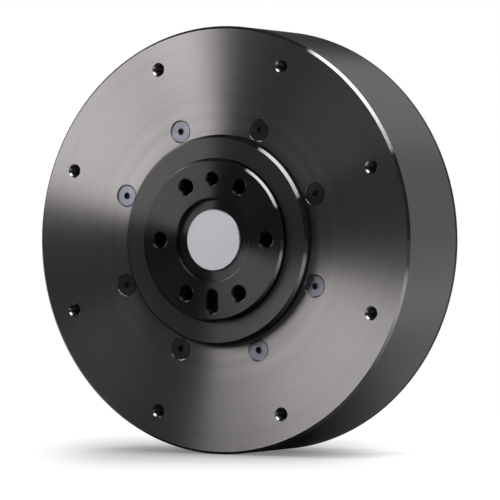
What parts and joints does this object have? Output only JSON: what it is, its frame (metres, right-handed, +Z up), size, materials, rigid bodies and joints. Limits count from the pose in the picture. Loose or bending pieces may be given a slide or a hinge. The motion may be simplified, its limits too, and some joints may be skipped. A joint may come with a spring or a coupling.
{
  "type": "robot joint actuator",
  "caption": "Flat round robot joint actuator: a motor, a planetary gear stage and a driver board in one housing, with a bolted output flange.",
  "frame": {"origin": "on the axis of rotation, in the main front face, at the centre of its circle of tapped holes", "axes": "+Y along the axis of rotation from the output to the rear cover, so the output looks towards -Y; +Z up, with the electrical sockets at the bottom"},
  "size_m": [0.098, 0.0385, 0.098],
  "materials": {
    "housing_black": "black anodised, fine turned",
    "ring_black": "black anodised, fine turned",
    "flange_black": "black anodised, fine turned",
    "rear_black": "black anodised, satin",
    "cover_black": "black anodised, satin",
    "front_screw_steel": "blackened steel",
    "rear_screw_steel": "blackened steel",
    "cap_steel": "fine ground",
    "bearing_steel": "ground",
    "retainer_steel": "machined",
    "gear_steel": "cut and hardened",
    "carrier_steel": "machined",
    "pin_steel": "ground",
    "bush_bronze": "sintered",
    "lamination_steel": "stacked sheets, lacquered",
    "copper_winding": "enamelled wire",
    "copper_stud": "bright copper",
    "board_lacquer": "solder mask",
    "chip_black": "moulded",
    "power_plastic": "moulded",
    "signal_plastic": "moulded",
    "contact_gold": "gold plated",
    "hub_aluminium": "machined",
    "rotor_steel": "turned",
    "magnet_nickel": "nickel plated"
  },
  "bodies": {
    "housing": {"front_housing": "housing_black", "bearing_housing": "ring_black", "gearbox_screws": "front_screw_steel", "outer_race": "bearing_steel", "race_retainer": "retainer_steel", "ring_gear": "gear_steel", "stator_core": "lamination_steel", "stator_coils": "copper_winding", "phase_studs": "copper_stud", "rear_housing": "rear_black", "housing_screws": "rear_screw_steel", "rear_bearing": "bearing_steel", "driver_board": "board_lacquer", "board_screws": "rear_screw_steel", "board_components": "chip_black", "power_socket": "power_plastic", "power_pins": "contact_gold", "signal_sockets": "signal_plastic", "signal_pins": "contact_gold", "rear_cover": "cover_black", "cover_screws": "rear_screw_steel"},
    "output": {"output_flange": "flange_black", "centre_cap": "cap_steel", "inner_race": "bearing_steel", "planet_carrier": "carrier_steel", "carrier_plate": "carrier_steel", "carrier_screws": "rear_screw_steel", "planet_pins": "pin_steel", "pilot_bearing": "bearing_steel"},
    "roller_train": {"rollers": "bearing_steel"},
    "rotor": {"sun_gear": "gear_steel", "rotor_hub": "hub_aluminium", "rotor_ring": "rotor_steel", "magnets": "magnet_nickel", "encoder_magnet": "magnet_nickel"},
    "planet_1": {"planet_gear_1": "gear_steel", "planet_bearing_1": "bush_bronze"},
    "planet_2": {"planet_gear_2": "gear_steel", "planet_bearing_2": "bush_bronze"},
    "planet_3": {"planet_gear_3": "gear_steel", "planet_bearing_3": "bush_bronze"}
  },
  "joints": [
    {"name": "output_spin", "type": "hinge", "parent": "housing", "child": "output", "pos_m": [0, 0, 0], "axis": [0, 1, 0], "continuous": true},
    {"name": "rotor_spin", "type": "hinge", "parent": "housing", "child": "rotor", "pos_m": [0, 0.0228, 0], "axis": [0, 1, 0], "continuous": true},
    {"name": "roller_train_spin", "type": "hinge", "parent": "housing", "child": "roller_train", "pos_m": [0, 0.0029, 0], "axis": [0, 1, 0], "continuous": true},
    {"name": "planet_1_spin", "type": "hinge", "parent": "output", "child": "planet_1", "pos_m": [0, 0.0126, 0.0135], "axis": [0, 1, 0], "continuous": true},
    {"name": "planet_2_spin", "type": "hinge", "parent": "output", "child": "planet_2", "pos_m": [-0.01169, 0.0126, -0.00675], "axis": [0, 1, 0], "continuous": true},
    {"name": "planet_3_spin", "type": "hinge", "parent": "output", "child": "planet_3", "pos_m": [0.01169, 0.0126, -0.00675], "axis": [0, 1, 0], "continuous": true}
  ],
  "couplings": [
    {"joint": "rotor_spin", "follows": "output_spin", "ratio": 9},
    {"joint": "roller_train_spin", "follows": "output_spin", "ratio": 0.4785},
    {"joint": "planet_1_spin", "follows": "output_spin", "ratio": -2.2857},
    {"joint": "planet_2_spin", "follows": "output_spin", "ratio": -2.2857},
    {"joint": "planet_3_spin", "follows": "output_spin", "ratio": -2.2857}
  ]
}
